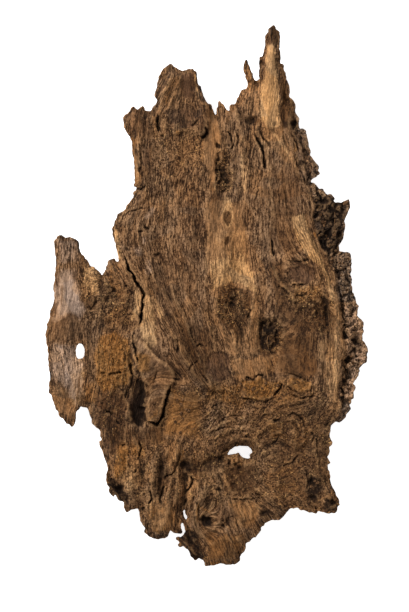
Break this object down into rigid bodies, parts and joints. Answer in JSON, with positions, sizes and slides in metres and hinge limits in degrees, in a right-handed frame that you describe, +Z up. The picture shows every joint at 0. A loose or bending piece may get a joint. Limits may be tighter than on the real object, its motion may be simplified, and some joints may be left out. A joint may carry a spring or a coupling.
{
  "type": "tree bark piece",
  "caption": "Slab of old tree bark lying on its corky outer side, its fibrous, cracked inner face up, with a torn wing, a tall splintered spire and worn-through holes.",
  "frame": {"origin": "middle of the object's box in plan, at floor level, where its worn cork plates rest", "axes": "+X to the right across the grain, +Y along the grain towards the tall spire, +Z up out of the fibrous inner face"},
  "size_m": [0.236, 0.399, 0.0346],
  "materials": {
    "bark": "dry, dull, fibrous old bark: mid brown with tan and ochre streaks, near-black cracks and dark grey-brown cork"
  },
  "bodies": {
    "root": {"bark_piece": "bark"}
  },
  "joints": []
}
